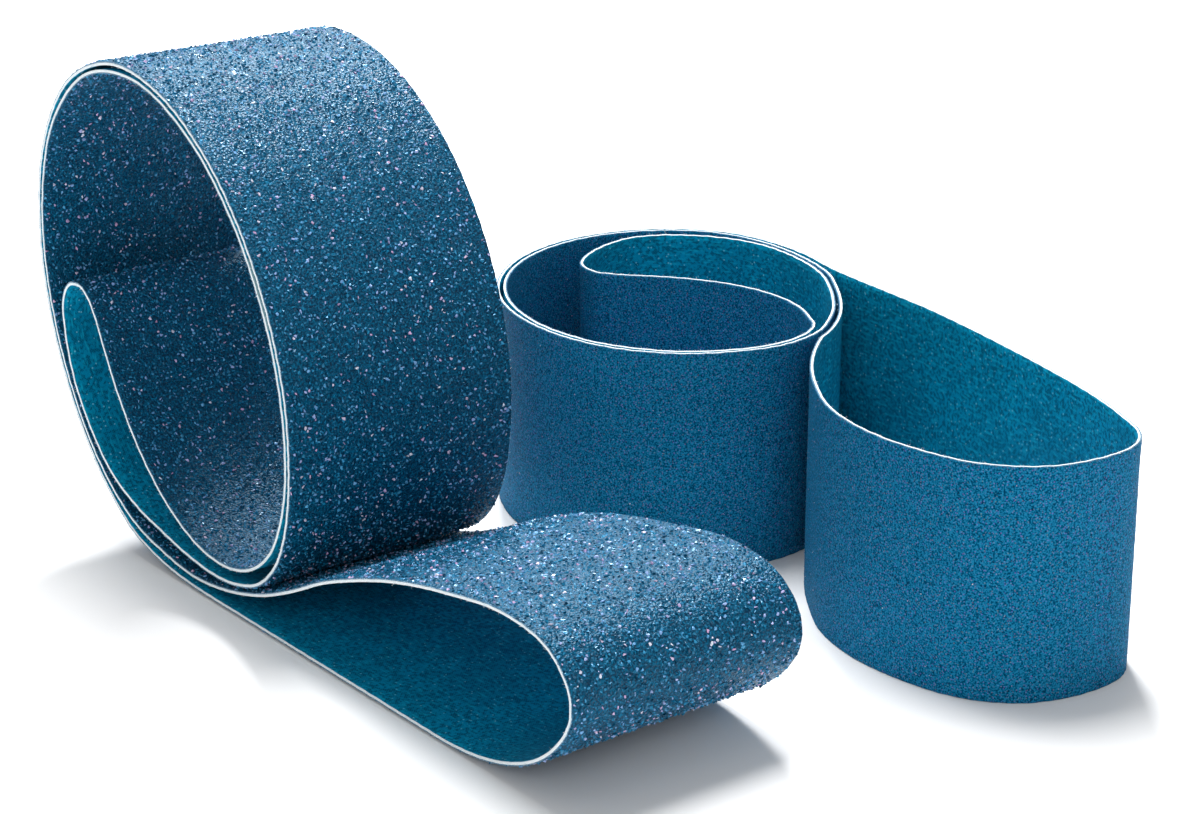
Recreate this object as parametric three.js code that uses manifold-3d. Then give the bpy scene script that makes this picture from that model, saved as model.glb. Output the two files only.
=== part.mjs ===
// A coarse and a fine endless abrasive belt for a belt grinder, as they stand in store.
// Each belt is pressed flat, rolled up from one end for rather more than a turn, and let
// go, so that the free end springs open into a tail. The coarse belt stands on the flat of
// its tail with its roll upright, and the fine belt stands on its cut edge.
//
// Sizes in millimetres, +Z up. The roll of the coarse belt turns about X, and both tails
// point to -Y.
import * as THREE from 'three';
import { mergeVertices } from 'three/addons/utils/BufferGeometryUtils.js';
import Module from 'manifold-3d';

const wasm = await Module();
wasm.setup();

// ---- Driving dimensions ----

// thickness of the layers that a belt is built up from, from the inside of its loop out
const COARSE_LAYERS = { tape: 0.15, cloth: 0.8, make: 0.25, grain: 0.6 };
const FINE_LAYERS = { tape: 0.12, cloth: 0.6, make: 0.12, grain: 0.25 };
const LAYER_GAP = 0.05;

const COARSE_WIDTH = 75;
const FINE_WIDTH = 68;

// free room between two strands that lie back to back, and two that lie grain to grain
const PAIR_ROOM = 1.2;
const TURN_ROOM = 0.5;

// oval that the outer strand runs round: half its long and short sizes, and its lean
const COARSE_ROLL = { long: 81.3, short: 65, lean: 121 };
const FINE_ROLL = { long: 65, short: 56, lean: 31 };

// how much the coarse roll is pressed flat where it stands
const COARSE_FLAT = 3;

// tail: from the middle of the roll to its tip, and the most that it stands open
const COARSE_TAIL = { reach: 195.5, open: 45.5 };
const FINE_TAIL = { reach: 184, open: 93 };

// the outer wall of the fine tail, as a share of its roll's short size from the middle
const FINE_TAIL_WALL = -0.91;

// free space between the belts, and how far the fine roll stands forward of the coarse one
const BELT_SPACING = 29;
const FINE_FORWARD = 38;

// butt joint of a belt: the slit in it, its slant to the edge, and the tape behind it
const SPLICE = { slit: 0.3, slant: 65, tapeWidth: 20 };
const COARSE_SPLICE_ANGLE = 370;
const FINE_SPLICE_ANGLE = 590;

// facets between two stations of a path, and the angle between two stations of a roll
const STEPS = 3;
const WRAP_STEP = 22;

const COLOURS = {
  cloth: 0x1b7890,
  make: 0x1c3f63,
  coarseGrain: 0x55749c,
  fineGrain: 0x2a6591,
  tape: 0x7c8f97,
};

// ---- Paths ----
// A path is the centre line of a belt's cloth in the plane across the belt, measured from
// the middle of the roll. x runs along the tail, and y away from the tail's outer wall.

// From the middle of the cloth to the outer face of the grain.
function grainReach(layers) {
  return layers.cloth / 2 + layers.make + layers.grain + 2 * LAYER_GAP;
}

// From strand to strand: back to back in a pair, and grain to grain between two turns.
function pitches(layers) {
  return {
    pair: layers.cloth + PAIR_ROOM,
    turn: 2 * grainReach(layers) + TURN_ROOM,
  };
}

// A point on the oval of a roll at an angle from +x, moved in towards its middle.
function onRoll(roll, angle, inset = 0) {
  const fromLong = THREE.MathUtils.degToRad(angle - roll.lean);
  const radius = (roll.long * roll.short)
    / Math.hypot(roll.short * Math.cos(fromLong), roll.long * Math.sin(fromLong));
  const turned = THREE.MathUtils.degToRad(angle);
  return new THREE.Vector3(Math.cos(turned), Math.sin(turned), 0)
    .multiplyScalar(radius - inset);
}

// Points on a roll, each given by its angle and inset.
function stations(roll, list) {
  return list.map(([angle, inset]) => onRoll(roll, angle, inset));
}

// A strand that keeps one inset from one angle to another.
function wrap(roll, from, to, inset) {
  const count = Math.round(Math.abs(to - from) / WRAP_STEP);
  return Array.from({ length: count + 1 }, (_, i) =>
    onRoll(roll, THREE.MathUtils.lerp(from, to, i / count), inset));
}

// Points on a tail, each a share of its reach and of how far it stands open.
function alongTail(tail, base, shares) {
  return shares.map(([out, across]) =>
    new THREE.Vector3(out * tail.reach, base + across * tail.open, 0));
}

// Points inside a roll, each a share of its short size, from its middle.
function inRoll(roll, shares) {
  return shares.map(([x, y]) => new THREE.Vector3(x * roll.short, y * roll.short, 0));
}

// The height of the cloth on the floor, measured from the middle of the coarse roll.
function coarseFloor() {
  return onRoll(COARSE_ROLL, 270).y + COARSE_FLAT;
}

function coarsePath() {
  const { pair, turn } = pitches(COARSE_LAYERS);
  const r = COARSE_ROLL.short;
  return [
    // the fold at the inner end, then the inner strand across the roll to its wall
    ...stations(COARSE_ROLL, [
      [175, 0.31 * r], [175, 0.38 * r], [180, 0.44 * r], [197, 0.465 * r],
      [224, 0.46 * r], [249, 0.44 * r], [268, 0.39 * r], [285, 0.295 * r],
      [299, pair + 0.16 * r], [311, pair + 0.075 * r], [323, pair + 0.02 * r],
    ]),
    // round the wall of the roll, inside the outer strand
    ...wrap(COARSE_ROLL, 340, 590, pair),
    // off the roll into the top of the tail, over its tip, and back along the floor
    ...alongTail(COARSE_TAIL, coarseFloor(), [
      [-0.115, 0.225], [-0.02, 0.115], [0.072, 0.07], [0.16, 0.105], [0.256, 0.21],
      [0.354, 0.38], [0.446, 0.57], [0.59, 0.795], [0.738, 0.93], [0.862, 1],
      [0.951, 0.935], [0.994, 0.76], [0.998, 0.58], [0.973, 0.395], [0.928, 0.225],
      [0.872, 0.11], [0.8, 0.031], [0.718, 0], [0.57, 0], [0.41, 0],
      [0.26, 0], [0.14, 0], [0.05, 0.008], [-0.04, 0.055],
    ]),
    // up the left of the roll as its outermost strand, and back round to the fold
    onRoll(COARSE_ROLL, 610, 0.012 * r),
    ...wrap(COARSE_ROLL, 592, 336, 0),
    ...stations(COARSE_ROLL, [
      [322, 0], [311, 0.035 * r], [301, 0.105 * r], [291, 0.17 * r],
      [279, 0.215 * r], [266, 0.21 * r], [253, pair + turn + 0.08 * r],
      [238, pair + turn + 0.02 * r], [222, pair + turn], [206, pair + turn],
      [193, pair + turn + 0.03 * r], [183, 0.155 * r], [177, 0.235 * r],
    ]),
  ];
}

function finePath() {
  const { pair, turn } = pitches(FINE_LAYERS);
  const r = FINE_ROLL.short;
  return [
    // the fold at the inner end, then the inner strand across the roll to its wall
    ...inRoll(FINE_ROLL, [
      [-0.555, 0.19], [-0.49, 0.185], [-0.4, 0.125], [-0.28, 0.02], [-0.13, -0.11],
      [0.05, -0.22], [0.27, -0.3], [0.5, -0.32], [0.7, -0.285], [0.84, -0.22],
    ]),
    ...stations(FINE_ROLL, [[352, pair + 0.075 * r], [362, pair + 0.02 * r]]),
    // round the wall of the roll, inside the outer strand
    ...wrap(FINE_ROLL, 376, 590, pair),
    // down the far wall between two outer strands, off the roll and into the tail
    ...stations(FINE_ROLL, [
      [610, pair + 0.045 * r], [630, pair + 0.075 * r], [650, 0.11 * r],
      [668, 0.122 * r], [682, 0.105 * r], [694, 0.07 * r], [705, 0.025 * r],
      [714, -0.02 * r],
    ]),
    ...alongTail(FINE_TAIL, FINE_TAIL_WALL * r, [
      [0.349, 0.525], [0.4, 0.65], [0.458, 0.761], [0.523, 0.858], [0.6, 0.948],
      [0.697, 0.998], [0.8, 0.995], [0.898, 0.944], [0.963, 0.837], [0.991, 0.718],
      [1, 0.568], [0.99, 0.465], [0.958, 0.385], [0.9, 0.326], [0.811, 0.258],
      [0.713, 0.202], [0.599, 0.148], [0.468, 0.095], [0.343, 0.052], [0.229, 0.03],
    ]),
    // along the far wall as the outermost strand, and back round to the fold
    ...stations(FINE_ROLL, [[647, 0.055 * r], [628, 0.06 * r], [610, 0.035 * r]]),
    ...wrap(FINE_ROLL, 592, 376, 0),
    ...stations(FINE_ROLL, [
      [364, 0.012 * r], [354, 0.04 * r], [345, turn + 0.045 * r],
      [334, turn + 0.08 * r], [322, turn + 0.11 * r], [308, turn + 0.125 * r],
      [290, turn + 0.118 * r], [268, pair + turn + 0.075 * r],
      [248, pair + turn + 0.05 * r], [232, pair + turn + 0.055 * r],
      [216, pair + turn + 0.065 * r], [203, 0.16 * r], [191, 0.235 * r],
      [178, 0.31 * r], [168, 0.37 * r], [163, 0.43 * r],
    ]),
  ];
}

// ---- Layers ----

// The corners of a path's facets, the same for every layer that follows it.
function facetPath(points) {
  const curve = new THREE.CatmullRomCurve3(points, true, 'centripetal');
  const count = points.length * STEPS;
  return Array.from({ length: count }, (_, i) => {
    const { x, y } = curve.getPoint(i / count);
    return new THREE.Vector2(x, y);
  });
}

// The path moved out from the inside of the loop, with every facet kept parallel.
function offsetPath(path, offset) {
  const count = path.length;
  return path.map((corner, i) => {
    const arriving = corner.clone().sub(path[(i + count - 1) % count]).normalize();
    const leaving = path[(i + 1) % count].clone().sub(corner).normalize();
    const along = arriving.clone().add(leaving).normalize();
    const outward = new THREE.Vector2(-along.y, along.x);
    return corner.clone().addScaledVector(outward, offset / along.dot(leaving));
  });
}

// A layer that goes all the way round the loop. A path runs clockwise, and a hole the
// other way.
function loopLayer(path, inner, outer, width) {
  const shape = new THREE.Shape(offsetPath(path, outer));
  shape.holes.push(new THREE.Path(offsetPath(path, inner).reverse()));
  return new THREE.ExtrudeGeometry(shape, { depth: width, bevelEnabled: false });
}

// A layer along the facets on both sides of one corner of the path.
function patchLayer(path, middle, facets, inner, outer, width) {
  const pick = (corners) => Array.from({ length: 2 * facets + 1 }, (_, i) =>
    corners[(middle - facets + i + corners.length) % corners.length]);
  const outline = [
    ...pick(offsetPath(path, outer)),
    ...pick(offsetPath(path, inner)).reverse(),
  ];
  return new THREE.ExtrudeGeometry(new THREE.Shape(outline), {
    depth: width,
    bevelEnabled: false,
  });
}

function toSolid(geometry) {
  const bare = geometry.clone();
  bare.deleteAttribute('normal');
  bare.deleteAttribute('uv');
  const merged = mergeVertices(bare, 1e-4);
  return new wasm.Manifold(new wasm.Mesh({
    numProp: 3,
    vertProperties: merged.attributes.position.array,
    triVerts: new Uint32Array(merged.index.array),
  }));
}

function toGeometry(solid) {
  const { vertProperties, triVerts } = solid.getMesh();
  const geometry = new THREE.BufferGeometry();
  geometry.setAttribute('position', new THREE.BufferAttribute(vertProperties, 3));
  geometry.setIndex(new THREE.BufferAttribute(triVerts, 1));
  geometry.computeVertexNormals();
  return geometry;
}

// ---- The butt joint ----

// Where a belt's ends meet: the corner of its path nearest to a point of the roll.
function spliceCorner(path, roll, angle, inset) {
  const target = onRoll(roll, angle, inset);
  const distances = path.map((corner) => corner.distanceTo(target));
  return distances.indexOf(Math.min(...distances));
}

// A slab that crosses the belt on the slant of the joint, as thick as is asked for.
function slantedSlab(path, corner, width, thickness) {
  const count = path.length;
  const next = path[(corner + 1) % count];
  const along = next.clone().sub(path[(corner + count - 1) % count]).normalize();
  const slant = THREE.MathUtils.degToRad(SPLICE.slant);
  const forward = new THREE.Vector3(along.x, along.y, 0);
  const across = new THREE.Vector3(0, 0, 1);
  const outward = new THREE.Vector3().crossVectors(across, forward);
  const slit = forward.clone().multiplyScalar(Math.cos(slant))
    .addScaledVector(across, Math.sin(slant));
  const through = new THREE.Vector3().crossVectors(outward, slit);
  const length = 2 * width;
  const depth = width / 2;
  const slab = new THREE.BoxGeometry(thickness, depth, length);
  slab.applyMatrix4(new THREE.Matrix4().makeBasis(through, outward, slit));
  slab.translate(path[corner].x, path[corner].y, width / 2);
  return toSolid(slab);
}

// The number of facets each side of the joint that the slanted tape can reach.
function spliceFacets(path, corner, width) {
  const reach = width / 2 / Math.tan(THREE.MathUtils.degToRad(SPLICE.slant))
    + SPLICE.tapeWidth;
  let facets = 1;
  while (path[(corner + facets) % path.length].distanceTo(path[corner]) < reach
    || path[(corner + path.length - facets) % path.length].distanceTo(path[corner]) < reach) {
    facets += 1;
  }
  return facets;
}

// ---- Belts ----

function material(color, roughness) {
  return new THREE.MeshStandardMaterial({ color, roughness, metalness: 0 });
}

// One belt in its path's plane, as wide as it is along +z.
function belt({ name, path, layers, width, grainColour, corner }) {
  const facets = spliceFacets(path, corner, width);
  const back = -layers.cloth / 2;
  const levels = {
    backing_cloth: [back, -back],
    make_coat: [-back + LAYER_GAP, -back + LAYER_GAP + layers.make],
    abrasive_grain: [grainReach(layers) - layers.grain, grainReach(layers)],
  };
  const finishes = {
    backing_cloth: material(COLOURS.cloth, 0.75),
    make_coat: material(COLOURS.make, 0.5),
    abrasive_grain: material(grainColour, 0.85),
  };
  const slit = toSolid(patchLayer(path, corner, facets,
    back - LAYER_GAP, grainReach(layers) + LAYER_GAP, width))
    .intersect(slantedSlab(path, corner, width, SPLICE.slit));
  const group = new THREE.Group();
  for (const [layer, [inner, outer]] of Object.entries(levels)) {
    const loop = toSolid(loopLayer(path, inner, outer, width)).subtract(slit);
    const mesh = new THREE.Mesh(toGeometry(loop), finishes[layer]);
    mesh.name = `${name}_${layer}`;
    group.add(mesh);
  }
  const tape = toSolid(patchLayer(path, corner, facets,
    back - LAYER_GAP - layers.tape, back - LAYER_GAP, width))
    .intersect(slantedSlab(path, corner, width, SPLICE.tapeWidth));
  const tapeMesh = new THREE.Mesh(toGeometry(tape), material(COLOURS.tape, 0.45));
  tapeMesh.name = `${name}_splice_tape`;
  group.add(tapeMesh);
  return group;
}

function coarseBelt() {
  const path = facetPath(coarsePath());
  // the smooth curve may not dip through the floor on its way into the flat
  path.forEach((corner) => { corner.y = Math.max(corner.y, coarseFloor()); });
  const { pair } = pitches(COARSE_LAYERS);
  const group = belt({
    name: 'coarse',
    path,
    layers: COARSE_LAYERS,
    width: COARSE_WIDTH,
    grainColour: COLOURS.coarseGrain,
    corner: spliceCorner(path, COARSE_ROLL, COARSE_SPLICE_ANGLE, pair),
  });
  // upright: the tail along -Y, the roll up, and the width along X
  group.quaternion.setFromRotationMatrix(new THREE.Matrix4().makeBasis(
    new THREE.Vector3(0, -1, 0), new THREE.Vector3(0, 0, 1), new THREE.Vector3(-1, 0, 0)));
  group.position.set(COARSE_WIDTH, 0, grainReach(COARSE_LAYERS) - coarseFloor());
  return group;
}

function fineBelt() {
  const path = facetPath(finePath());
  const nearest = Math.max(...path.map((corner) => corner.y)) + grainReach(FINE_LAYERS);
  const group = belt({
    name: 'fine',
    path,
    layers: FINE_LAYERS,
    width: FINE_WIDTH,
    grainColour: COLOURS.fineGrain,
    corner: spliceCorner(path, FINE_ROLL, FINE_SPLICE_ANGLE, 0),
  });
  // on its edge: the tail along -Y, and the roll's wall towards the coarse belt
  group.quaternion.setFromRotationMatrix(new THREE.Matrix4().makeBasis(
    new THREE.Vector3(0, -1, 0), new THREE.Vector3(-1, 0, 0), new THREE.Vector3(0, 0, -1)));
  group.position.set(COARSE_WIDTH + BELT_SPACING + nearest, -FINE_FORWARD, FINE_WIDTH);
  return group;
}

const belts = new THREE.Group();
belts.add(coarseBelt(), fineBelt());

// the origin is the middle of the whole set, on the floor
const box = new THREE.Box3().setFromObject(belts, true);
const middle = box.getCenter(new THREE.Vector3());
belts.position.set(-middle.x, -middle.y, -box.min.z);

export default belts;
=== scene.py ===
"""A coarse and a fine endless abrasive belt, rolled up and let go, as they stand in store.

Each belt is laminated from a woven cloth, a coat of resin and a layer of grain, and its
ends meet in a slanted butt joint with a tape behind it. Every layer is carried along the
belt's own centre line, which is read from the sides of its cloth in the frame.

Metres, +Z up. On a belt, along runs round the loop, across goes from one cut edge to the
other, and out goes from the middle of the cloth towards the grain.
"""
import math

import bmesh
import bpy
import numpy as np
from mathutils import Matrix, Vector


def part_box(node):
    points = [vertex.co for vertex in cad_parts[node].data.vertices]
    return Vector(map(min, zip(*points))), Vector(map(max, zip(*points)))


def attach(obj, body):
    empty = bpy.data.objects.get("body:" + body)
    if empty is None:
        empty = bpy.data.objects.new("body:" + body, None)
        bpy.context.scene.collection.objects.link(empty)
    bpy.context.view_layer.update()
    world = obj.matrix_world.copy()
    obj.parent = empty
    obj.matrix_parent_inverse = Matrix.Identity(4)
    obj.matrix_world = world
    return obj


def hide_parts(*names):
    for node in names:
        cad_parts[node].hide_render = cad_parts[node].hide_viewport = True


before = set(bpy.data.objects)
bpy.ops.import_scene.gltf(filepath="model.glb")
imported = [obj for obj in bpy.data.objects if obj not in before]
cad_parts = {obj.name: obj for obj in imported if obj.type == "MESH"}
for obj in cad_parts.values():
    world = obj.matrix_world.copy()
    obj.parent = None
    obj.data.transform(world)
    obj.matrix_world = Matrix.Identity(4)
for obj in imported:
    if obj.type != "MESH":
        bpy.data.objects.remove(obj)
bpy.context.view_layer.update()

MM = 0.001

# ---- Sizes ----

# how far two points may lie apart and still be one corner
TOUCHING = 1e-6
# how fine the centre line is read, and how far each way a bend is read
PITCH = 0.25 * MM
BEND_REACH = 2 * MM
# one in so many of the cloth's corners is enough to tell which way is out
CORNER_SAMPLE = 20

# a layer reaches this far into the one below it, so that no light shows between them
BITE = 0.02 * MM

# the cut edges: how much they are rounded, and how far they wander from a straight cut
EDGE_ROUND = 0.12 * MM
WANDER = {"most": 0.14 * MM, "length": 5 * MM, "fades_over": 1.6 * MM}

# how far the belts sway out of their smooth line, and how long a sway is
SWAY = 0.1 * MM
SWAY_LENGTH = 55 * MM
# what lies on the floor is flat, and higher up than this the belt is free to sway
FREE_HEIGHT = 12 * MM

# creases across the fine belt where it bends tightly: how far they stray from even ones,
# and how long the patches are in which they come and go
CREASE = {"depth": 0.14 * MM, "apart": 2.7 * MM, "from_radius": 40 * MM, "full_radius": 14 * MM,
          "stray": 1.6, "stray_length": 14 * MM, "patch_length": 19 * MM}

# how finely the layers are divided, along and across the belt
COARSE_STEPS = {"cloth": (1.6 * MM, 2.6 * MM), "resin": (1.3 * MM, 1.9 * MM)}
FINE_STEPS = {"cloth": (1.4 * MM, 2.6 * MM), "resin": (2 * MM, 4 * MM),
              "bed": (1.1 * MM, 1.3 * MM)}
# faces across the hidden side of a layer, few but enough to follow the bends on the slant
HIDDEN_STEPS = 12

# the tape on the inside of the joint
TAPE_WIDTH = 20 * MM
TAPE_STEPS = (1 * MM, 2.5 * MM)
TAPE_INNER_STEPS = 28

# how far apart the cloth's yarns lie, and the tape's threads
CLOTH_YARN = 0.42 * MM
TAPE_YARN = 0.9 * MM

# the coarse belt's grains: the room between them, their half size, how deep they may sink
# into the resin, and how many corners they are broken to
COARSE_GRAIN = {"apart": 0.96 * MM, "small": 0.58 * MM, "large": 0.92 * MM, "sunk": 0.38 * MM,
                "corners": 8}
COARSE_LANES = 6
# larger grains that stand proud of the fine belt's even layer
FINE_GRAIN = {"apart": 1.9 * MM, "small": 0.16 * MM, "large": 0.3 * MM, "sunk": 0.1 * MM,
              "corners": 8}
FINE_LANES = 2
FINE_GRAIN_PROUD = 0.08 * MM
# no grain is centred nearer to a cut edge than this
GRAIN_MARGIN = 0.55 * MM
# how a grain is made, as shares of its half size: how far out its corners lie, and how
# long, wide and thick it is
CRYSTAL = {"reach": (0.8, 1.1), "squash": (1.0, 0.85, 0.75)}
CRYSTAL_SHAPES = 6

# the lumps of the coarse resin, and the grit of the fine belt's even layer
RESIN_LUMP = {"depth": 0.04 * MM, "length": 2.6 * MM, "waves": 24}
BED_GRIT = 0.03 * MM

# threads that stand out of a cut edge, how far they lean, and how they bend and thin out
THREAD = {"apart": 0.7 * MM, "short": 0.25 * MM, "long": 0.8 * MM, "thick": 0.06 * MM,
          "tilt": 1.1, "bend": 0.5, "taper": 0.6}
THREAD_SHAPES = 5

# grains and threads are strewn over strips, and this is how finely those are divided
STRIP_STEP = 1.5 * MM
LANE_STEPS = 6

# the room round each piece where its faces are laid out flat
MAP_MARGIN = 2 * MM

# the floor, a hair below what stands on it
FLOOR_HALF = 3.0
FLOOR_DROP = 0.02 * MM

# what each run of random numbers starts from, and how far apart the seeds of two lanes are
SEEDS = {"wander": 9, "sway": 3, "stray": 5, "patch": 7, "resin": 11, "bed": 13,
         "grains": 100, "threads": 7}
SEEDS_APART = 10

# the finishes of a swept piece, in order
FACE, CUT = 0, 1


# ---- Node trees ----

class Value:
    """One output in a node tree, which can be added to, multiplied and so on."""

    def __init__(self, nodes, socket):
        self.nodes, self.socket = nodes, socket

    def other(self, name):
        """Another output of the same node."""
        return Value(self.nodes, self.socket.node.outputs[name])

    def __add__(self, value):
        return self.nodes.maths("ADD", self, value)

    def __sub__(self, value):
        return self.nodes.maths("SUBTRACT", self, value)

    def __rsub__(self, value):
        return self.nodes.maths("SUBTRACT", value, self)

    def __mul__(self, value):
        return self.nodes.maths("MULTIPLY", self, value)

    def __pow__(self, value):
        return self.nodes.maths("POWER", self, value)

    __radd__ = __add__
    __rmul__ = __mul__


class Nodes:
    """A node tree, for a material or for geometry, written as calls."""

    def __init__(self, tree):
        self.tree = tree

    def node(self, kind, settings=None, inputs=None, output=0):
        """Adds a node: its settings first, then the values or links of its inputs."""
        made = self.tree.nodes.new(kind)
        for name, value in (settings or {}).items():
            if name == "stops":
                self.set_stops(made.color_ramp, value)
            else:
                setattr(made, name, value)
        for name, value in (inputs or {}).items():
            self.feed(made, name, value)
        shown = [s for s in made.outputs if s.enabled]
        found = shown[output] if isinstance(output, int) else made.outputs[output]
        return Value(self, found)

    def feed(self, made, name, value):
        """Gives a node's input its value or its link."""
        if isinstance(name, int):
            socket = made.inputs[name]
        else:
            socket = next(s for s in made.inputs if s.name == name and s.enabled)
        if isinstance(value, Value):
            self.tree.links.new(value.socket, socket)
        else:
            socket.default_value = value

    def set_stops(self, ramp, stops):
        """Sets a colour ramp's stops, each a place and a colour."""
        while len(ramp.elements) < len(stops):
            ramp.elements.new(1.0)
        for element, (place, colour) in zip(ramp.elements, stops):
            element.position = place
            element.color = (*colour, 1.0)

    def maths(self, operation, first, second):
        """One sum on two values."""
        return self.node("ShaderNodeMath", {"operation": operation}, {0: first, 1: second})


class Finish(Nodes):
    """A material with one shader, whose fixed values are set when it is made."""

    def __init__(self, name, **fixed):
        self.material = bpy.data.materials.new(name)
        self.material.use_nodes = True
        super().__init__(self.material.node_tree)
        self.shader = self.tree.nodes["Principled BSDF"]
        for socket, value in fixed.items():
            self.shader.inputs[socket.replace("_", " ")].default_value = value
        self.places = self.node("ShaderNodeTexCoord", output="Object")

    def set(self, socket, value):
        """Links a value that changes over the surface to the shader."""
        self.feed(self.shader, socket, value)

    def noise(self, size, detail=2.0, vector=None):
        """Cloudy noise from 0 to 1 with lumps of a size."""
        return self.node("ShaderNodeTexNoise", None, {
            "Vector": vector or self.places, "Scale": 1 / size, "Detail": detail})

    def cells(self, size, output="Distance"):
        """The distance to, or the random colour of, the nearest of many scattered points."""
        return self.node("ShaderNodeTexVoronoi", None, {
            "Vector": self.places, "Scale": 1 / size}, output)

    def tone(self):
        """The random tone, from 0 to 1, of the grain or the thread that a point is on."""
        return self.node("ShaderNodeAttribute", {"attribute_name": "tone"}, output="Fac")

    def fade(self, value, low, high):
        """0 below low, 1 above high, and smooth between them."""
        return self.node("ShaderNodeMapRange", {"interpolation_type": "SMOOTHSTEP"}, {
            "Value": value, "From Min": low, "From Max": high})

    def ramp(self, value, stops):
        """A colour for each value from 0 to 1."""
        return self.node("ShaderNodeValToRGB", {"stops": stops}, {"Fac": value})

    def mix(self, share, first, second, blend="MIX"):
        """Two colours, mixed by a share."""
        return self.node("ShaderNodeMix", {"data_type": "RGBA", "blend_type": blend}, {
            "Factor": share, "A": first, "B": second})

    def bump(self, height, depth, strength=1.0):
        """Feeds the shader's Normal from a height of 0 to 1, which stands for a depth."""
        self.set("Normal", self.node("ShaderNodeBump", None, {
            "Strength": strength, "Distance": depth, "Height": height}))


def rgb(red, green, blue):
    """A colour socket's value."""
    return (red, green, blue, 1.0)


# ---- Finishes ----

def woven(finish, yarn):
    """The height of a plain weave of yarns a distance apart, from the piece's flat map."""
    flat = finish.node("ShaderNodeUVMap", {"uv_map": "flat"})
    apart = finish.node("ShaderNodeSeparateXYZ", None, {"Vector": flat})
    warp, weft = (finish.node("ShaderNodeMath", {"operation": "SINE"}, {
        0: way * (math.pi / yarn)}) for way in (apart, apart.other("Y")))
    return warp * weft * 0.5 + 0.5


def slubbed(finish, long, thin):
    """Where the yarn is thick, from 0 to 1: long and thin streaks on the piece's flat map."""
    flat = finish.node("ShaderNodeUVMap", {"uv_map": "flat"})
    drawn_out = finish.node("ShaderNodeVectorMath", {"operation": "MULTIPLY"}, {
        0: flat, 1: (1 / long, 1 / thin, 1.0)})
    return finish.noise(1.0, vector=drawn_out)


def backing_cloth_finish():
    """Blue-dyed polyester cloth, filled and pressed, with a faint weave, slubs and lint."""
    finish = Finish("backing_cloth", Specular_IOR_Level=0.1, Specular_Tint=rgb(0.2, 0.7, 1.0))
    weave = woven(finish, CLOTH_YARN)
    cloud = finish.noise(26 * MM, 3.0)
    mottle = finish.noise(1.1 * MM, 3.0)
    lint = finish.fade(finish.cells(1.9 * MM), 0.2, 0.06)
    slubs = finish.fade(slubbed(finish, 4 * MM, 0.8 * MM), 0.52, 0.68)
    base = finish.mix(finish.fade(cloud, 0.35, 0.65), rgb(0.0, 0.17, 0.31), rgb(0.0, 0.27, 0.47))
    dyed = finish.mix(finish.fade(mottle, 0.42, 0.6), base, rgb(0.0, 0.055, 0.12))
    threads = finish.mix(weave * 0.5, dyed, rgb(0.002, 0.34, 0.54))
    streaked = finish.mix(slubs * 0.5, threads, rgb(0.01, 0.46, 0.66))
    finish.set("Base Color", finish.mix(lint * 0.7, streaked, rgb(0.2, 0.66, 0.78)))
    finish.set("Roughness", mottle * 0.2 + 0.5)
    finish.bump(weave * 0.7 + mottle * 0.3, 0.06 * MM, 0.5)
    return finish.material


def raw_edge_finish():
    """The cut edge of the cloth, white where the blade has bared the undyed yarn."""
    finish = Finish("raw_edge", Roughness=0.8, Sheen_Weight=0.2)
    fibres = finish.noise(0.16 * MM, 4.0)
    soiled = finish.fade(finish.noise(6 * MM), 0.55, 0.8)
    white = finish.mix(finish.fade(fibres, 0.3, 0.62), rgb(0.55, 0.72, 0.8), rgb(0.93, 0.95, 0.95))
    finish.set("Base Color", finish.mix(soiled * 0.25, white, rgb(0.25, 0.5, 0.62)))
    finish.bump(fibres, 0.1 * MM, 0.7)
    return finish.material


def cut_resin_finish():
    """The side of the resin and the grain, broken pale by the blade."""
    finish = Finish("cut_resin", Roughness=0.55)
    chips = finish.noise(0.3 * MM, 3.0)
    finish.set("Base Color", finish.mix(
        finish.fade(chips, 0.45, 0.68), rgb(0.01, 0.1, 0.2), rgb(0.35, 0.55, 0.7)))
    finish.bump(chips, 0.1 * MM, 0.8)
    return finish.material


def make_coat_finish(name, lump, deep, pale):
    """Blue resin with the smallest grains in it, which shows between the large ones."""
    finish = Finish(name, Specular_IOR_Level=0.45, Specular_Tint=rgb(0.22, 0.66, 1.0))
    grit = finish.cells(lump)
    beads = finish.noise(lump * 0.7, 3.0)
    tint = finish.mix(finish.fade(beads, 0.35, 0.7), deep, pale)
    finish.set("Base Color", tint)
    finish.set("Roughness", beads * 0.3 + 0.3)
    finish.bump(1 - grit + beads * 0.6, 0.5 * lump)
    return finish.material


def coarse_grain_finish():
    """Crushed blue grain, each its own tint, with a few pale, pink and white ones that are painted
    glints.
    """
    finish = Finish("coarse_grain", Specular_IOR_Level=0.9, Specular_Tint=rgb(0.4, 0.7, 1.0))
    chips = finish.noise(0.45 * MM)
    # from 0.94 up the ramp's pale lavender, pink and white are painted highlight: grains coloured
    # as if they caught the light. The tones below that are the grains' own random tint.
    tint = finish.ramp(finish.tone(), [
        (0.0, (0.0, 0.03, 0.07)),
        (0.25, (0.0, 0.1, 0.2)),
        (0.55, (0.003, 0.19, 0.36)),
        (0.75, (0.05, 0.31, 0.56)),
        (0.87, (0.2, 0.42, 0.76)),
        (0.94, (0.45, 0.52, 0.88)),
        (0.97, (0.75, 0.42, 0.68)),
        (1.0, (0.85, 0.88, 1.0)),
    ])
    finish.set("Base Color", finish.mix(
        finish.fade(chips, 0.45, 0.65) * 0.35, tint, rgb(0.0, 0.1, 0.21)))
    finish.set("Roughness", chips * 0.24 + 0.16)
    finish.bump(chips, 0.12 * MM, 0.8)
    return finish.material


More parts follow.
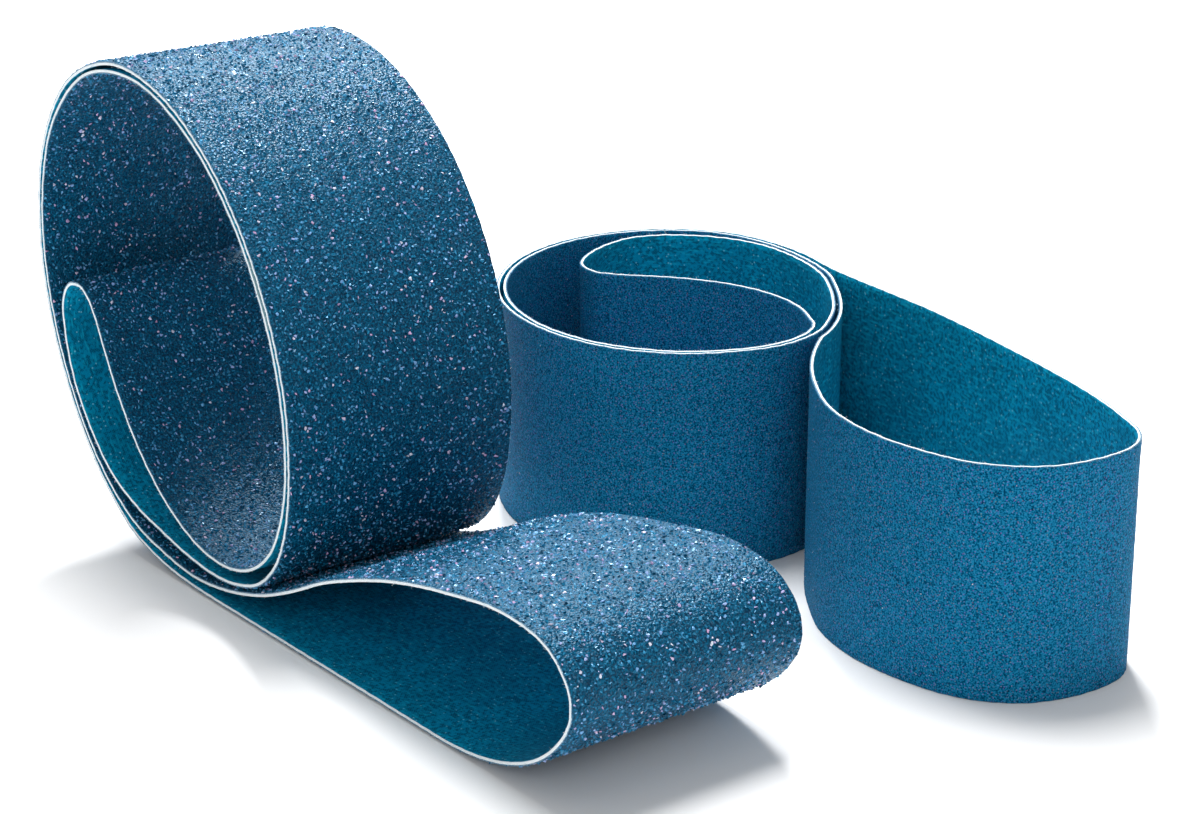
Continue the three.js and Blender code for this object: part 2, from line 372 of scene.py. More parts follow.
def fine_grain_finish():
    """An even layer of fine blue grain with a soft, slightly mottled face."""
    finish = Finish("fine_grain", Specular_IOR_Level=0.05, Specular_Tint=rgb(0.2, 0.6, 1.0))
    dust = finish.noise(0.5 * MM, 3.0)
    specks = finish.cells(0.75 * MM)
    hue = finish.cells(0.75 * MM, output="Color")
    cloud = finish.noise(18 * MM)
    base = finish.mix(cloud, rgb(0.0, 0.08, 0.175), rgb(0.0, 0.105, 0.22))
    dusty = finish.mix(finish.fade(dust, 0.44, 0.6), base, rgb(0.012, 0.2, 0.38))
    dark = finish.mix(finish.fade(dust, 0.48, 0.32), dusty, rgb(0.0, 0.035, 0.085))
    point = finish.fade(specks, 0.38, 0.16)
    tinted = finish.mix(0.65, rgb(0.22, 0.28, 0.62), hue, "MULTIPLY")
    finish.set("Base Color", finish.mix(point * 0.6, dark, tinted))
    finish.set("Roughness", dust * 0.3 + 0.55)
    finish.bump(1 - specks + dust * 0.6, 0.1 * MM, 0.6)
    return finish.material


def fine_speck_finish():
    """The few larger grains of the fine belt, some of them pink or white."""
    finish = Finish("fine_speck", IOR=1.6)
    chips = finish.noise(0.2 * MM, 1.0)
    tint = finish.ramp(finish.tone(), [
        (0.0, (0.002, 0.03, 0.07)),
        (0.35, (0.01, 0.12, 0.25)),
        (0.75, (0.04, 0.22, 0.38)),
        (0.92, (0.22, 0.2, 0.4)),
        (0.98, (0.6, 0.32, 0.42)),
        (1.0, (0.8, 0.88, 0.95)),
    ])
    finish.set("Base Color", finish.mix(chips * 0.4, tint, rgb(0.01, 0.13, 0.27)))
    finish.set("Roughness", chips * 0.3 + 0.25)
    return finish.material


def tape_finish():
    """Thin film over the joint, with cross-laid threads inside it."""
    finish = Finish("splice_tape", IOR=1.5, Coat_Roughness=0.15)
    threads = woven(finish, TAPE_YARN)
    haze = finish.noise(5 * MM)
    film = finish.mix(haze, rgb(0.1, 0.24, 0.3), rgb(0.16, 0.32, 0.38))
    finish.set("Base Color", finish.mix(threads * 0.4, film, rgb(0.3, 0.46, 0.5)))
    finish.set("Roughness", haze * 0.2 + 0.25)
    finish.set("Coat Weight", haze * 0.3 + 0.2)
    finish.bump(threads, 0.04 * MM, 0.5)
    return finish.material


def loose_thread_finish():
    """Undyed polyester fibre."""
    finish = Finish("loose_thread", Roughness=0.7)
    finish.set("Base Color", finish.ramp(finish.tone(), [
        (0.0, (0.45, 0.62, 0.7)),
        (0.3, (0.85, 0.9, 0.92)),
        (1.0, (0.95, 0.96, 0.96)),
    ]))
    return finish.material


def floor_finish():
    """Plain white, with the least of a cloud in it."""
    finish = Finish("floor", Roughness=0.85)
    cloud = finish.noise(0.3)
    finish.set("Base Color", finish.mix(cloud, rgb(0.93, 0.93, 0.93), rgb(0.95, 0.95, 0.95)))
    return finish.material


# ---- Belts ----

def side_corners(mesh, axis, level):
    """The corners round one side of a layer, in order."""
    shape = bmesh.new()
    shape.from_mesh(mesh)
    bmesh.ops.remove_doubles(shape, verts=shape.verts, dist=TOUCHING)
    side = {f for f in shape.faces if all(abs(v.co[axis] - level) < TOUCHING for v in f.verts)}
    beside = {}
    for edge in shape.edges:
        if sum(f in side for f in edge.link_faces) == 1:
            for vertex in edge.verts:
                beside.setdefault(vertex, []).append(edge.other_vert(vertex))
    start = next(iter(beside))
    walk = [start, beside[start][0]]
    while walk[-1] is not start:
        walk.append(next(v for v in beside[walk[-1]] if v is not walk[-2]))
    corners = np.array([v.co for v in walk[:-1]])
    shape.free()
    return corners


def enclosed(line, axis):
    """The area inside a closed line in the plane across an axis."""
    flat = np.delete(line, axis, axis=1)
    ahead = np.roll(flat, -1, axis=0)
    return abs((flat[:, 0] * ahead[:, 1] - flat[:, 1] * ahead[:, 0]).sum()) / 2


def two_faces(corners, axis):
    """A cloth's outer and inner face, corner by corner, both from one end to the other."""
    step = np.roll(corners, -1, axis=0) - corners
    heading = step / np.linalg.norm(step, axis=1)[:, None]
    sharp = (heading * np.roll(heading, 1, axis=0)).sum(axis=1) < 0.5
    first, second = np.flatnonzero(sharp & np.roll(sharp, -1))
    count = second - first
    one = np.roll(corners, -(first + 1), axis=0)[:count]
    other = np.roll(corners, -(second + 1), axis=0)[:len(corners) - count][::-1]
    return (one, other) if enclosed(one, axis) > enclosed(other, axis) else (other, one)


def smooth_ring(corners):
    """A smooth closed line through corners, with twenty points from each to the next."""
    before, ahead = np.roll(corners, 1, axis=0), np.roll(corners, -1, axis=0)
    beyond = np.roll(corners, -2, axis=0)
    t = np.arange(0, 1, 0.05)[None, :, None]
    a, b, c, d = (line[:, None, :] for line in (before, corners, ahead, beyond))
    line = 0.5 * (2 * b + (c - a) * t + (2 * a - 5 * b + 4 * c - d) * t ** 2
                  + (3 * b - a - 3 * c + d) * t ** 3)
    return line.reshape(-1, 3)


def evenly(line, pitch):
    """A closed line again, with points about a pitch apart, and its length."""
    closed = np.vstack([line, line[:1]])
    steps = np.linalg.norm(np.diff(closed, axis=0), axis=1)
    along = np.concatenate([[0], np.cumsum(steps)])
    count = round(along[-1] / pitch)
    at = np.arange(count) * along[-1] / count
    return np.stack([np.interp(at, along, closed[:, k]) for k in range(3)], axis=1), along[-1]


def waves(along, across, length, seed, count=9):
    """Gentle waves of one length in all directions, mostly within -1 to 1."""
    random = np.random.default_rng(seed)
    total = 0
    for turn, phase in random.uniform(0, math.tau, (count, 2)):
        run = along * math.cos(turn) + across * math.sin(turn)
        total = total + np.sin(run * math.tau / length + phase)
    return total / math.sqrt(count)


class Belt:
    """The centre line of a belt's cloth, its joint, and places on the belt.

    Its span is from one end of the strip to the other, and is measured from the joint."""

    def __init__(self, name, axis, creased):
        self.name, self.body = name, f"{name}_belt"
        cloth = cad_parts[f"{name}_backing_cloth"].data
        low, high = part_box(f"{name}_backing_cloth")
        self.low, self.width = low[axis], high[axis] - low[axis]
        self.axis = np.eye(3)[axis]
        outer, inner = two_faces(side_corners(cloth, axis, low[axis]), axis)
        middle = (outer + inner) / 2 * (1 - self.axis)
        line, self.length = evenly(smooth_ring(middle[1:-1]), PITCH)
        forward = self.heading(line)
        sample = middle[::CORNER_SAMPLE]
        nearest = np.linalg.norm(line[:, None] - sample[None], axis=2).argmin(axis=0)
        outward = np.cross(forward, self.axis)[nearest]
        if ((outer - inner)[::CORNER_SAMPLE] * outward).sum() < 0:
            line = line[::-1]
            forward = self.heading(line)
        self.line, self.forward = line, forward
        self.outward = np.cross(forward, self.axis)
        gap = np.linalg.norm(middle[0] - middle[-1])
        self.span = (gap / 2, self.length - gap / 2)
        self.joint = self.find_joint(cloth, axis, (low[axis], high[axis]))
        height = line[:, 2]
        self.free = np.clip((height - height.min()) / FREE_HEIGHT, 0, 1)
        # a belt that stands on its cut edge is free all round
        if self.axis[2]:
            self.free[:] = 1
        self.crease = self.creasing() if creased else np.zeros(len(line))

    def heading(self, line):
        """The direction of travel at each point of a closed line."""
        step = np.roll(line, -1, axis=0) - np.roll(line, 1, axis=0)
        return step / np.linalg.norm(step, axis=1)[:, None]

    def find_joint(self, cloth, axis, levels):
        """Where the joint is along the belt, at each cut edge."""
        found = []
        for level in levels:
            outer, inner = two_faces(side_corners(cloth, axis, level), axis)
            ends = (outer[[0, -1]] + inner[[0, -1]]).mean(axis=0) / 2 * (1 - self.axis)
            near = np.linalg.norm(self.line - ends, axis=1).argmin()
            found.append(near / len(self.line) * self.length)
        half = self.length / 2
        slant = (found[1] - found[0] + half) % self.length - half
        return found[0], found[0] + slant

    def creasing(self):
        """How much each point of the line is creased, from 0 to 1 in the tight bends."""
        reach = round(BEND_REACH / PITCH)
        turn = np.roll(self.forward, -reach, axis=0) - np.roll(self.forward, reach, axis=0)
        bend = np.linalg.norm(turn, axis=1) / (2 * reach * PITCH)
        slack, full = 1 / CREASE["from_radius"], 1 / CREASE["full_radius"]
        share = np.clip((bend - slack) / (full - slack), 0, 1)
        return share * share * (3 - 2 * share)

    def joint_at(self, across):
        """Where the joint is along the belt, at a distance across it."""
        start, end = self.joint
        return start + (end - start) * across / self.width

    def place(self, along, across, out):
        """Points of the belt, swayed and creased as it is."""
        along, across, out = np.broadcast_arrays(along, across, out)
        spot = np.mod(along, self.length) / self.length * len(self.line)
        before = spot.astype(int) % len(self.line)
        after = (before + 1) % len(self.line)
        share = spot - spot.astype(int)

        def between(values):
            part = share.reshape(share.shape + (1,) * (values.ndim - 1))
            return values[before] * (1 - part) + values[after] * part

        high = self.width - across
        fade_low, fade_high = (np.clip(1 - edge / WANDER["fades_over"], 0, 1)
                               for edge in (across, high))
        cut = 0.5 + 0.5 * waves(along, across * 0, WANDER["length"], SEEDS["wander"]).clip(-1, 1)
        across = across + WANDER["most"] * cut * (fade_low - fade_high)
        free, crease = between(self.free), between(self.crease)
        sway = SWAY * free * waves(along, across, SWAY_LENGTH, SEEDS["sway"])
        stray = CREASE["stray"] * waves(along, across, CREASE["stray_length"], SEEDS["stray"])
        phase = along * math.tau / CREASE["apart"] + stray
        patch = waves(along, across, CREASE["patch_length"], SEEDS["patch"])
        patch = np.clip(0.6 + 0.5 * patch, 0, 1)
        sway = sway + CREASE["depth"] * crease * patch * np.sin(phase)
        moved = between(self.line) + between(self.outward) * (out + sway)[..., None]
        return moved + self.axis * (self.low + across)[..., None]


# ---- Strips ----

def faces_of(belt, node):
    """How far out the inner and the outer face of one of the belt's layers lie."""
    axis = int(belt.axis.argmax())
    corners = side_corners(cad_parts[f"{belt.name}_{node}"].data, axis, belt.low)
    flat = corners * (1 - belt.axis)
    near = np.linalg.norm(flat[:, None] - belt.line[None], axis=2).argmin(axis=1)
    away = ((flat - belt.line[near]) * belt.outward[near]).sum(axis=1)
    outer = away > away.mean()
    return float(np.median(away[~outer])), float(np.median(away[outer]))


def side(start, end, count, slot, rough=0.0):
    """One side of an outline as corners, each across, out, how rough, and its finish."""
    return [(*(np.array(start) + (np.array(end) - start) * i / count), rough, slot)
            for i in range(count)]


def layer_outline(width, inner, outer, across_step, inner_steps):
    """The outline of a layer: outer face, high cut edge, inner face, low cut edge."""
    top, bottom, r = outer - EDGE_ROUND, inner + EDGE_ROUND, EDGE_ROUND
    return (side((r, outer), (width - r, outer), round(width / across_step), FACE, rough=1.0)
            + side((width - r, outer), (width, top), 1, CUT)
            + side((width, top), (width, bottom), 2, CUT)
            + side((width, bottom), (width - r, inner), 1, CUT)
            + side((width - r, inner), (r, inner), inner_steps, FACE)
            + side((r, inner), (0, bottom), 1, CUT)
            + side((0, bottom), (0, top), 2, CUT)
            + side((0, top), (r, outer), 1, CUT))


def rows_for(length, height):
    """How many rows of a height a length is cut into, so that they stack to a square."""
    return max(1, round(math.sqrt(length / height)))


def sweep(name, belt, span, step, outline, relief=None):
    """A closed strip of a belt: an outline carried along it, with a cap at each end.

    The span is measured from the joint, whose slant both ends keep. A relief raises the
    rough part of the outline."""
    rings = round((span[1] - span[0]) / step) + 1
    across, out, rough, slots = (np.array(values) for values in zip(*outline))
    sides = len(across)
    along = np.linspace(*span, rings)[:, None] + belt.joint_at(across)[None]
    raised = out + rough * relief(along, across) if relief else out
    points = belt.place(along, across[None], raised)
    points[..., 2] = np.maximum(points[..., 2], 0)
    ring, corner = (v.ravel() for v in np.mgrid[:rings - 1, :sides])
    ahead = (corner + 1) % sides
    quads = np.stack([ring * sides + corner, (ring + 1) * sides + corner,
                      (ring + 1) * sides + ahead, ring * sides + ahead], axis=1)
    caps = [list(range(sides)), list(range(rings * sides - 1, (rings - 1) * sides - 1, -1))]
    mesh = bpy.data.meshes.new(name)
    mesh.from_pydata(points.reshape(-1, 3), [], quads.tolist() + caps)

    slot = np.concatenate([slots[corner], [CUT, CUT]]).astype(np.int32)
    mesh.polygons.foreach_set("material_index", slot)
    mesh.polygons.foreach_set("use_smooth", slot == FACE)

    # one map is the belt laid flat, and the other is the same cut into rows for a square
    end = np.append(across, across[0]), np.append(out, out[0])
    girth = np.concatenate([[0], np.cumsum(np.hypot(np.diff(end[0]), np.diff(end[1])))])
    height = girth[-1] + MAP_MARGIN
    rows = rows_for(span[1] - span[0], height)
    per_row = math.ceil((rings - 1) / rows)
    row = ring // per_row
    u = ((ring - row * per_row)[:, None] + [0, 1, 1, 0]) * step
    v = girth[corner[:, None] + [0, 0, 1, 1]] + (row * height)[:, None]
    cap_u = per_row * step + MAP_MARGIN / 2 + out - out.min()
    size = max(per_row * step + 2 * MAP_MARGIN, rows * height)
    laid = np.stack([u, v], axis=2).reshape(-1, 2)
    cap = np.stack([cap_u, across], axis=1)
    add_map(mesh, "OFBake", np.concatenate([laid, cap, cap[::-1] + [0, height]]) / size)
    loops = np.concatenate([quads.ravel(), caps[0], caps[1]])
    flat = np.stack([along.ravel(), np.broadcast_to(across, along.shape).ravel()], axis=1)
    add_map(mesh, "flat", flat[loops])
    return mesh


def add_map(mesh, name, places):
    """A UV map with a place for each face's corner, in order."""
    layer = mesh.uv_layers.new(name=name)
    layer.data.foreach_set("uv", np.ascontiguousarray(places, np.float32).ravel())


def finished(name, mesh, belt, node, finishes):
    """A piece made of a mesh, with its finishes. It may stand for a CAD node of its belt."""
    piece = bpy.data.objects.new(name, mesh)
    bpy.context.scene.collection.objects.link(piece)
    # what was strewn has its finish already
    for finish in finishes[len(mesh.materials):]:
        mesh.materials.append(finish)
    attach(piece, belt.body)
    if node:
        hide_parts(f"{belt.name}_{node}")
    return piece


def layer(belt, part, node, faces, steps, inner_steps, finishes,
          slot=None, span=None, relief=None):
    """A layer of a belt between its inner and its outer face, as a finished piece."""
    name = f"{belt.name}_{part}"
    outline = layer_outline(belt.width, *faces, steps[1], inner_steps)
    mesh = sweep(name, belt, span or belt.span, steps[0], outline, relief)
    return finished(name, mesh, belt, node, finishes)


# ---- What is strewn over a belt ----

def strewing_tree():
    """Geometry nodes that strew shapes over a strip, sunk, turned and scaled at random."""
    tree = bpy.data.node_groups.new("strewing", "GeometryNodeTree")
    sockets = {"Geometry": "Geometry", "Apart": "Float", "Small": "Float", "Large": "Float",
               "Sunk": "Float", "Tilt": "Float", "Shapes": "Collection",
               "Finish": "Material", "Seed": "Int"}
    for name, kind in sockets.items():
        tree.interface.new_socket(name, in_out="INPUT", socket_type=f"NodeSocket{kind}")
    tree.interface.new_socket("Geometry", in_out="OUTPUT", socket_type="NodeSocketGeometry")
    nodes = Nodes(tree)
    given = nodes.node("NodeGroupInput")
    ask = given.other

    def chance(kind, low, high, offset):
        return nodes.node("FunctionNodeRandomValue", {"data_type": kind}, {
            "Min": low, "Max": high, "Seed": ask("Seed") + offset})

    # four tries on each square of the room between two shapes leave no bare patch
    apart = ask("Apart")
    seats = nodes.node("GeometryNodeDistributePointsOnFaces", {"distribute_method": "POISSON"}, {
        "Mesh": given, "Distance Min": apart, "Density Max": 4 * apart ** -2, "Seed": ask("Seed")})
    down = nodes.node("ShaderNodeVectorMath", {"operation": "SCALE"}, {
        0: seats.other("Normal"), "Scale": -1 * chance("FLOAT", 0.0, ask("Sunk"), 1)})
    sunk = nodes.node("GeometryNodeSetPosition", None, {"Geometry": seats, "Offset": down})
    toned = nodes.node("GeometryNodeStoreNamedAttribute", {"data_type": "FLOAT"}, {
        "Geometry": sunk, "Name": "tone", "Value": chance("FLOAT", 0.0, 1.0, 2)})
    tilt = nodes.node("ShaderNodeCombineXYZ", None, {
        "X": ask("Tilt"), "Y": ask("Tilt"), "Z": math.pi})
    back = nodes.node("ShaderNodeVectorMath", {"operation": "SCALE"}, {0: tilt, "Scale": -1.0})
    turn = nodes.node("FunctionNodeRotateRotation", {"rotation_space": "LOCAL"}, {
        "Rotation": seats.other("Rotation"),
        "Rotate By": chance("FLOAT_VECTOR", back, tilt, 3)})
    shapes = nodes.node("GeometryNodeCollectionInfo", None, {
        "Collection": ask("Shapes"), "Separate Children": True, "Reset Children": True})
    strewn = nodes.node("GeometryNodeInstanceOnPoints", None, {
        "Points": toned, "Instance": shapes, "Pick Instance": True, "Rotation": turn,
        "Scale": chance("FLOAT", ask("Small"), ask("Large"), 4)})
    real = nodes.node("GeometryNodeRealizeInstances", None, {"Geometry": strewn})
    done = nodes.node("GeometryNodeSetMaterial", None, {
        "Geometry": real, "Material": ask("Finish")})
    nodes.tree.links.new(done.socket, tree.nodes.new("NodeGroupOutput").inputs[0])
    return tree


def ruled_strip(belt, first, second, count):
    """An open strip between two lines along a belt, which knows where on the belt it is."""
    rings = round((belt.span[1] - belt.span[0]) / STRIP_STEP) + 1
    share = np.linspace(0, 1, count + 1)[:, None]
    across, out = (np.array(first) * (1 - share) + np.array(second) * share).T
    along = np.linspace(*belt.span, rings)[:, None] + belt.joint_at(across)[None]
    points = belt.place(along, across[None], out[None]).reshape(-1, 3)
    ring, corner = (v.ravel() for v in np.mgrid[:rings - 1, :count])
    near, far = ring * (count + 1) + corner, (ring + 1) * (count + 1) + corner
    mesh = bpy.data.meshes.new("strip")
    mesh.from_pydata(points, [], np.stack([near, far, far + 1, near + 1], axis=1).tolist())
    for name, values in (("along", along), ("across", across[None])):
        spread = np.broadcast_to(values, along.shape).ravel().astype(np.float32)
        mesh.attributes.new(name, "FLOAT", "POINT").data.foreach_set("value", spread)
    return mesh


def strew(strips, tree, settings):
    """One plain mesh of everything that the tree strews over some strips."""
    carrier = bpy.data.objects.new("carrier", strips)
    bpy.context.scene.collection.objects.link(carrier)
    modifier = carrier.modifiers.new("strewing", "NODES")
    modifier.node_group = tree
    for name, value in settings.items():
        modifier[tree.interface.items_tree[name].identifier] = value
    graph = bpy.context.evaluated_depsgraph_get()
    mesh = bpy.data.meshes.new_from_object(carrier.evaluated_get(graph))
    bpy.data.objects.remove(carrier)
    bpy.data.meshes.remove(strips)
    return mesh


def shape_set(name, meshes):
    """A collection of shapes to strew, which isn't in the scene itself."""
    group = bpy.data.collections.new(name)
    for mesh in meshes:
        group.objects.link(bpy.data.objects.new(f"{name}_shape", mesh))
    return group


def crystal(seed, corners):
    """A broken lump of grain, with scattered corners about 1 from its middle."""
    random = np.random.default_rng(seed)
    shape = bmesh.new()
    for _ in range(corners):
        corner = random.normal(size=3)
        corner *= random.uniform(*CRYSTAL["reach"]) / np.linalg.norm(corner)
        shape.verts.new(corner * CRYSTAL["squash"])
    bmesh.ops.convex_hull(shape, input=shape.verts)
    bmesh.ops.delete(shape, geom=[v for v in shape.verts if not v.link_faces], context="VERTS")
    bmesh.ops.recalc_face_normals(shape, faces=shape.faces)
    mesh = bpy.data.meshes.new("crystal")
    shape.to_mesh(mesh)
    shape.free()
    return mesh


def thread_shape(seed):
    """A short bent thread standing up from its root, 1 long, thinner at its tip."""
    random = np.random.default_rng(seed)
    bend = random.uniform(-THREAD["bend"], THREAD["bend"], 2)
    levels, sides = 4, 3
    points = []
    for level in range(levels + 1):
        rise = level / levels
        thick = THREAD["thick"] / THREAD["long"] * (1 - THREAD["taper"] * rise)
        for turn in np.arange(sides) * math.tau / sides:
            points.append((math.cos(turn) * thick + bend[0] * rise ** 2,
                           math.sin(turn) * thick + bend[1] * rise ** 2, rise))
    faces = [list(range(sides))[::-1], list(range(levels * sides, (levels + 1) * sides))]
    for level in range(levels):
        for i in range(sides):
            low, ahead = level * sides + i, level * sides + (i + 1) % sides
            faces.append([low, ahead, ahead + sides, low + sides])
    mesh = bpy.data.meshes.new("thread")
    mesh.from_pydata(points, [], faces)
    return mesh


def keep_above_floor(mesh):
    """Lifts what is below the floor up to it, and gives all the corners of the mesh."""
    points = np.empty(len(mesh.vertices) * 3)
    mesh.vertices.foreach_get("co", points)
    points[2::3] = np.maximum(points[2::3], 0)
    mesh.vertices.foreach_set("co", points)
    return points.reshape(-1, 3)


def lay_grains(mesh, belt, low, band):
    """Lays the grains out in rows, each seen from above, with their undersides apart."""
    points = keep_above_floor(mesh)
    along, across = np.empty(len(points)), np.empty(len(points))
    mesh.attributes["along"].data.foreach_get("value", along)
    mesh.attributes["across"].data.foreach_get("value", across)
    length = belt.span[1] - belt.span[0]
    spot = (np.mod(along, belt.length) / belt.length * len(belt.line)).astype(int)
    spot %= len(belt.line)
    away = points - belt.place(along, across, 0.0)
    run = (away * belt.forward[spot]).sum(axis=1)
    rise = across - low + (away * belt.axis).sum(axis=1)

    loops = np.empty(len(mesh.loops), np.int32)
    mesh.loops.foreach_get("vertex_index", loops)
    sizes, normals = np.empty(len(mesh.polygons), np.int32), np.empty(len(mesh.polygons) * 3)
    mesh.polygons.foreach_get("loop_total", sizes)
    mesh.polygons.foreach_get("normal", normals)
    first = loops[np.concatenate([[0], np.cumsum(sizes)[:-1]])]
    under = (normals.reshape(-1, 3) * belt.outward[spot[first]]).sum(axis=1) < 0
    height = band + MAP_MARGIN
    rows = rows_for(length, 2 * height)
    start = along.min()
    row = np.minimum(((along - start) / length * rows).astype(int), rows - 1)
    u = along - start - row * length / rows + run + MAP_MARGIN
    v = rise + row * height
    size = max(length / rows + 2 * MAP_MARGIN, 2 * rows * height)
    places = np.stack([u[loops], v[loops] + np.repeat(under, sizes) * rows * height], axis=1)
    add_map(mesh, "OFBake", places / size)


def grain_piece(belt, lane, lanes, level, tree, shapes, grain, finish):
    """One lane of a belt's grains, strewn from one end of the belt to the other."""
    band = (belt.width - 2 * GRAIN_MARGIN) / lanes
    low = GRAIN_MARGIN + lane * band
    strip = ruled_strip(belt, (low, level), (low + band, level), LANE_STEPS)
    mesh = strew(strip, tree, {
        "Apart": grain["apart"], "Small": grain["small"], "Large": grain["large"],
        "Sunk": grain["sunk"], "Tilt": math.pi, "Shapes": shapes, "Finish": finish,
        "Seed": SEEDS["grains"] + lane * SEEDS_APART})
    mesh.polygons.foreach_set("use_smooth", np.zeros(len(mesh.polygons), bool))
    lay_grains(mesh, belt, low, band)
    name = f"{belt.name}_grains_{lane + 1}"
    return finished(name, mesh, belt, "abrasive_grain", [finish])


def thread_piece(belt, edges, tree, shapes, finish):
    """The threads that stand out of a belt's cut edges."""
    inner, outer = faces_of(belt, "backing_cloth")
    joined = bmesh.new()
    for edge in edges:
        lines = (edge, inner + BITE), (edge, outer - BITE)
        # both strips face away from the belt
        if edge:
            lines = lines[::-1]
        strip = ruled_strip(belt, *lines, 1)
        joined.from_mesh(strip)
        bpy.data.meshes.remove(strip)
    strips = bpy.data.meshes.new("strips")
    joined.to_mesh(strips)
    joined.free()
    mesh = strew(strips, tree, {
        "Apart": THREAD["apart"], "Small": THREAD["short"], "Large": THREAD["long"],
        "Sunk": 0.0, "Tilt": THREAD["tilt"], "Shapes": shapes, "Finish": finish,
        "Seed": SEEDS["threads"]})
    keep_above_floor(mesh)
    return finished(f"{belt.name}_edge_threads", mesh, belt, None, [finish])


# ---- The two belts ----

def lumpy(depth, length, count, seed):
    """A relief of gentle lumps."""
    return lambda along, across: depth * waves(along, across, length, seed, count)


def gritty(depth, seed):
    """A relief of grains too small to model one by one."""
    random = np.random.default_rng(seed)
    return lambda along, across: random.normal(0, depth, along.shape).clip(-2 * depth, 2 * depth)


def make_belt(belt, steps, relief, finishes, grain, lanes, edges):
    """Every piece of one belt. Its grains sit on its resin, or on a bed where it has one."""
    cloth_inner, cloth_outer = faces_of(belt, "backing_cloth")
    resin_outer = faces_of(belt, "make_coat")[1]
    grain_outer = faces_of(belt, "abrasive_grain")[1]
    tape_inner = faces_of(belt, "splice_tape")[0]

    cloth = layer(
        belt, "cloth", "backing_cloth", (cloth_inner, cloth_outer), steps["cloth"],
        round(belt.width / steps["cloth"][1]), [finishes["cloth"], finishes["raw"]])
    pieces = [
        layer(belt, "resin", "make_coat", (cloth_outer - BITE, resin_outer), steps["resin"],
              HIDDEN_STEPS, [finishes["resin"], finishes["cut"]], relief=relief.get("resin")),
        layer(belt, "joint_tape", "splice_tape", (tape_inner, cloth_inner + BITE), TAPE_STEPS,
              TAPE_INNER_STEPS, [finishes["tape"], finishes["tape"]],
              span=(-TAPE_WIDTH / 2, TAPE_WIDTH / 2)),
    ]
    seat = resin_outer
    if "bed" in steps:
        seat = grain_outer - FINE_GRAIN_PROUD
        pieces.append(layer(
            belt, "grain_bed", "abrasive_grain", (resin_outer - BITE, seat), steps["bed"],
            HIDDEN_STEPS, [finishes["bed"], finishes["cut"]], slot=f"{belt.name}_grain",
            relief=relief["bed"]))

    tree = strewing_tree()
    lumps = shape_set(f"{belt.name}_lumps", [
        crystal(seed, grain["corners"]) for seed in range(CRYSTAL_SHAPES)])
    for lane in range(lanes):
        pieces.append(grain_piece(
            belt, lane, lanes, seat, tree, lumps, grain, finishes["grain"]))
    fibres = shape_set(f"{belt.name}_fibres", [
        thread_shape(seed) for seed in range(THREAD_SHAPES)])
    pieces.append(thread_piece(belt, edges, tree, fibres, finishes["thread"]))


# ---- Floor, light and camera ----

def lay_floor():
    """A pale floor under everything."""
    mesh = bpy.data.meshes.new("floor")
    corners = [(x * FLOOR_HALF, y * FLOOR_HALF, -FLOOR_DROP)
               for x, y in ((-1, -1), (1, -1), (1, 1), (-1, 1))]
    mesh.from_pydata(corners, [], [(0, 1, 2, 3)])
    mesh.materials.append(floor_finish())
    floor = bpy.data.objects.new("floor", mesh)
    bpy.context.scene.collection.objects.link(floor)


def hang_light(name, place, aim, size, power):
    """A square soft box that shines from a place towards an aim."""
    lamp = bpy.data.lights.new(name, "AREA")
    lamp.size, lamp.energy = size, power
    light = bpy.data.objects.new(name, lamp)
    light.location = place
    light.rotation_euler = (Vector(aim) - Vector(place)).to_track_quat("-Z", "Y").to_euler()
    bpy.context.scene.collection.objects.link(light)


def set_camera(place, turned, down, lens):
    """A level camera at a place, turned from +Y towards +X and tipped down, in degrees."""
    camera = bpy.data.objects.new("camera", bpy.data.cameras.new("camera"))
    camera.data.lens = lens
    camera.data.clip_start, camera.data.clip_end = 0.05, 20
    camera.location = place
    camera.rotation_euler = (math.radians(90 - down), 0, math.radians(-turned))
    bpy.context.scene.collection.objects.link(camera)
    bpy.context.scene.camera = camera


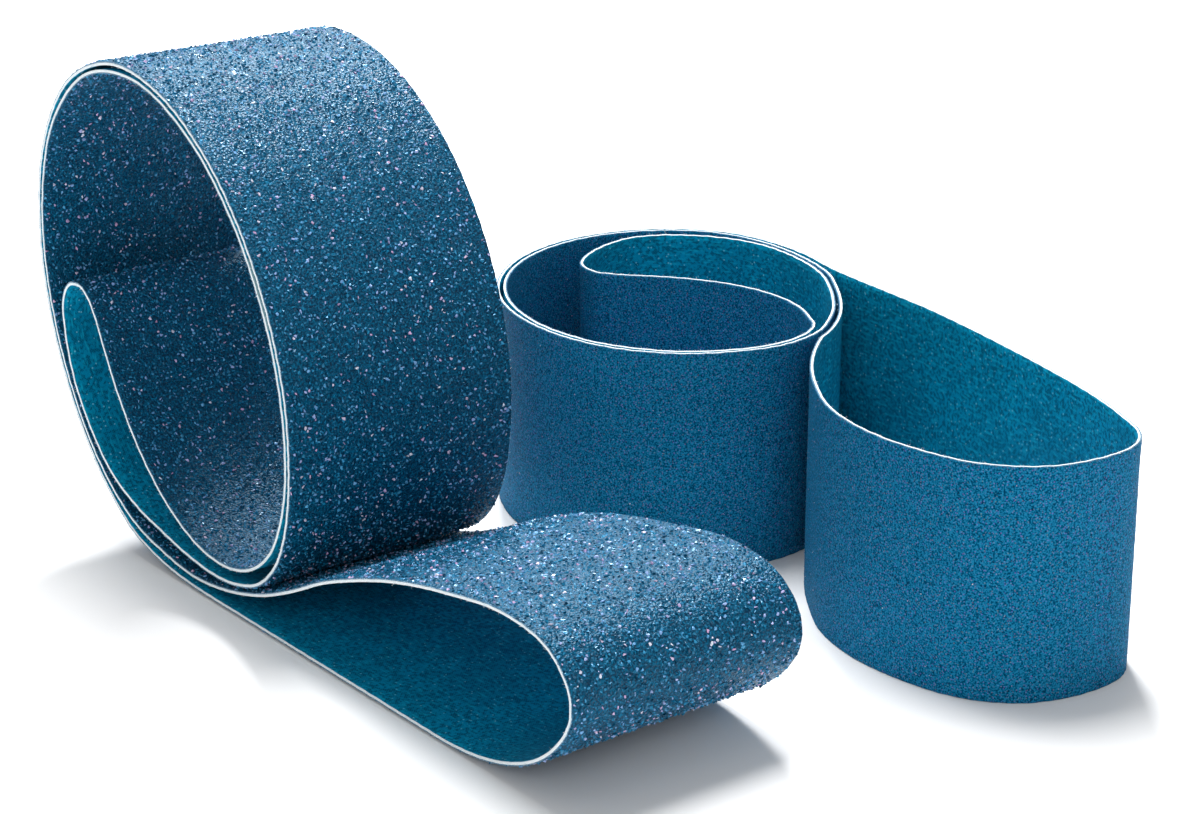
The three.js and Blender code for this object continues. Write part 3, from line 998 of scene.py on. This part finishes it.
def set_world(strength):
    """A white room all round."""
    world = bpy.data.worlds.new("room")
    world.use_nodes = True
    world.node_tree.nodes["Background"].inputs["Color"].default_value = rgb(1, 1, 1)
    world.node_tree.nodes["Background"].inputs["Strength"].default_value = strength
    bpy.context.scene.world = world


# ---- The scene ----

shared_finishes = {
    "cloth": backing_cloth_finish(),
    "raw": raw_edge_finish(),
    "cut": cut_resin_finish(),
    "tape": tape_finish(),
    "thread": loose_thread_finish(),
}
coarse = Belt("coarse", axis=0, creased=False)
fine = Belt("fine", axis=2, creased=True)
make_belt(
    coarse, COARSE_STEPS,
    relief={"resin": lumpy(
        RESIN_LUMP["depth"], RESIN_LUMP["length"], RESIN_LUMP["waves"], SEEDS["resin"])},
    finishes=shared_finishes | {
        "resin": make_coat_finish(
            "coarse_resin", 0.8 * MM, deep=rgb(0.0, 0.02, 0.055), pale=rgb(0.0, 0.125, 0.25)),
        "grain": coarse_grain_finish(),
    },
    grain=COARSE_GRAIN, lanes=COARSE_LANES, edges=(0.0, coarse.width))
# the fine belt stands on its low cut edge, so only its high one is frayed
make_belt(
    fine, FINE_STEPS,
    relief={"bed": gritty(BED_GRIT, SEEDS["bed"])},
    finishes=shared_finishes | {
        "resin": make_coat_finish(
            "fine_resin", 0.4 * MM, deep=rgb(0.001, 0.03, 0.07), pale=rgb(0.01, 0.09, 0.19)),
        "bed": fine_grain_finish(),
        "grain": fine_speck_finish(),
    },
    grain=FINE_GRAIN, lanes=FINE_LANES, edges=(fine.width,))

lay_floor()
set_world(0.45)
hang_light("overhead", place=(0.1, 0.3, 1.3), aim=(0, 0, 0.05), size=0.5, power=18)
hang_light("back", place=(0.65, 0.85, 1.05), aim=(-0.03, 0, 0.1), size=0.3, power=25)
hang_light("front", place=(-1.0, -1.0, 0.7), aim=(0, 0, 0.05), size=0.7, power=4)
set_camera(place=(-0.4888, -0.6163, 0.33375), turned=37.8, down=19.8, lens=86.9)
bpy.context.scene.view_settings.view_transform = "Standard"
